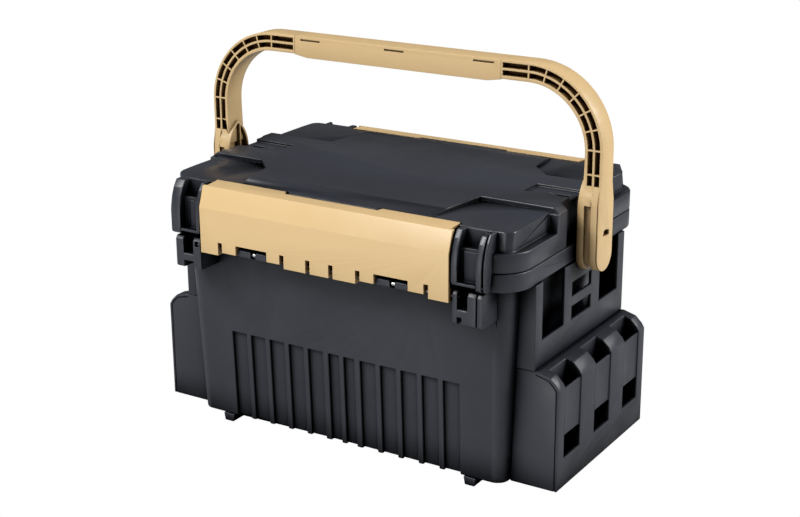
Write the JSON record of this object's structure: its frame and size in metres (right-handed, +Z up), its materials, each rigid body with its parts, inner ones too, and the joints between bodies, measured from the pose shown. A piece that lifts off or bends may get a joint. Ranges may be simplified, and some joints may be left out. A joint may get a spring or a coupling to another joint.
{
  "type": "portable tackle box",
  "caption": "Portable moulded tackle box with a long latch on each long side, a hinged carry handle and rod holders on both ends.",
  "frame": {"origin": "centre of the footprint, on the ground under the feet", "axes": "+Z up, +X to the right along the long side seen from the front latch, +Y to the rear latch"},
  "size_m": [0.434, 0.2806, 0.372],
  "materials": {
    "charcoal_plastic": "satin, finely grained",
    "tan_plastic": "satin",
    "steel": "plain drawn wire"
  },
  "bodies": {
    "tub": {"tub": "charcoal_plastic", "front_rod": "steel", "rear_rod": "steel", "tub_lug_fr": "charcoal_plastic", "tub_lug_fl": "charcoal_plastic", "tub_lug_rr": "charcoal_plastic", "tub_lug_rl": "charcoal_plastic", "foot_fr": "charcoal_plastic", "foot_fl": "charcoal_plastic", "foot_rr": "charcoal_plastic", "foot_rl": "charcoal_plastic", "side_frame_right": "charcoal_plastic", "side_frame_left": "charcoal_plastic", "rod_holder_right": "charcoal_plastic", "rod_holder_left": "charcoal_plastic", "handle_pin_right": "steel", "handle_pin_left": "steel"},
    "lid": {"lid": "charcoal_plastic", "lid_lug_fr": "charcoal_plastic", "lid_lug_fl": "charcoal_plastic", "lid_lug_rr": "charcoal_plastic", "lid_lug_rl": "charcoal_plastic"},
    "front_latch": {"front_latch": "tan_plastic"},
    "rear_latch": {"rear_latch": "tan_plastic"},
    "handle": {"handle": "tan_plastic", "handle_grip": "tan_plastic"}
  },
  "joints": [
    {"name": "lid_open", "type": "hinge", "parent": "tub", "child": "lid", "pos_m": [0, 0.134, 0.1917], "axis": [-1, 0, 0], "range_deg": [0, 23]},
    {"name": "front_latch_open", "type": "hinge", "parent": "tub", "child": "front_latch", "pos_m": [0, -0.134, 0.1917], "axis": [1, 0, 0], "range_deg": [0, 110]},
    {"name": "rear_latch_open", "type": "hinge", "parent": "lid", "child": "rear_latch", "pos_m": [0, 0.134, 0.1917], "axis": [-1, 0, 0], "range_deg": [0, 110]},
    {"name": "handle_swing", "type": "hinge", "parent": "tub", "child": "handle", "pos_m": [0, 0, 0.204], "axis": [1, 0, 0], "range_deg": [-110, 110]}
  ],
  "couplings": [
    {"joint": "front_latch_open", "follows": "lid_open", "ratio": 4.7826}
  ]
}
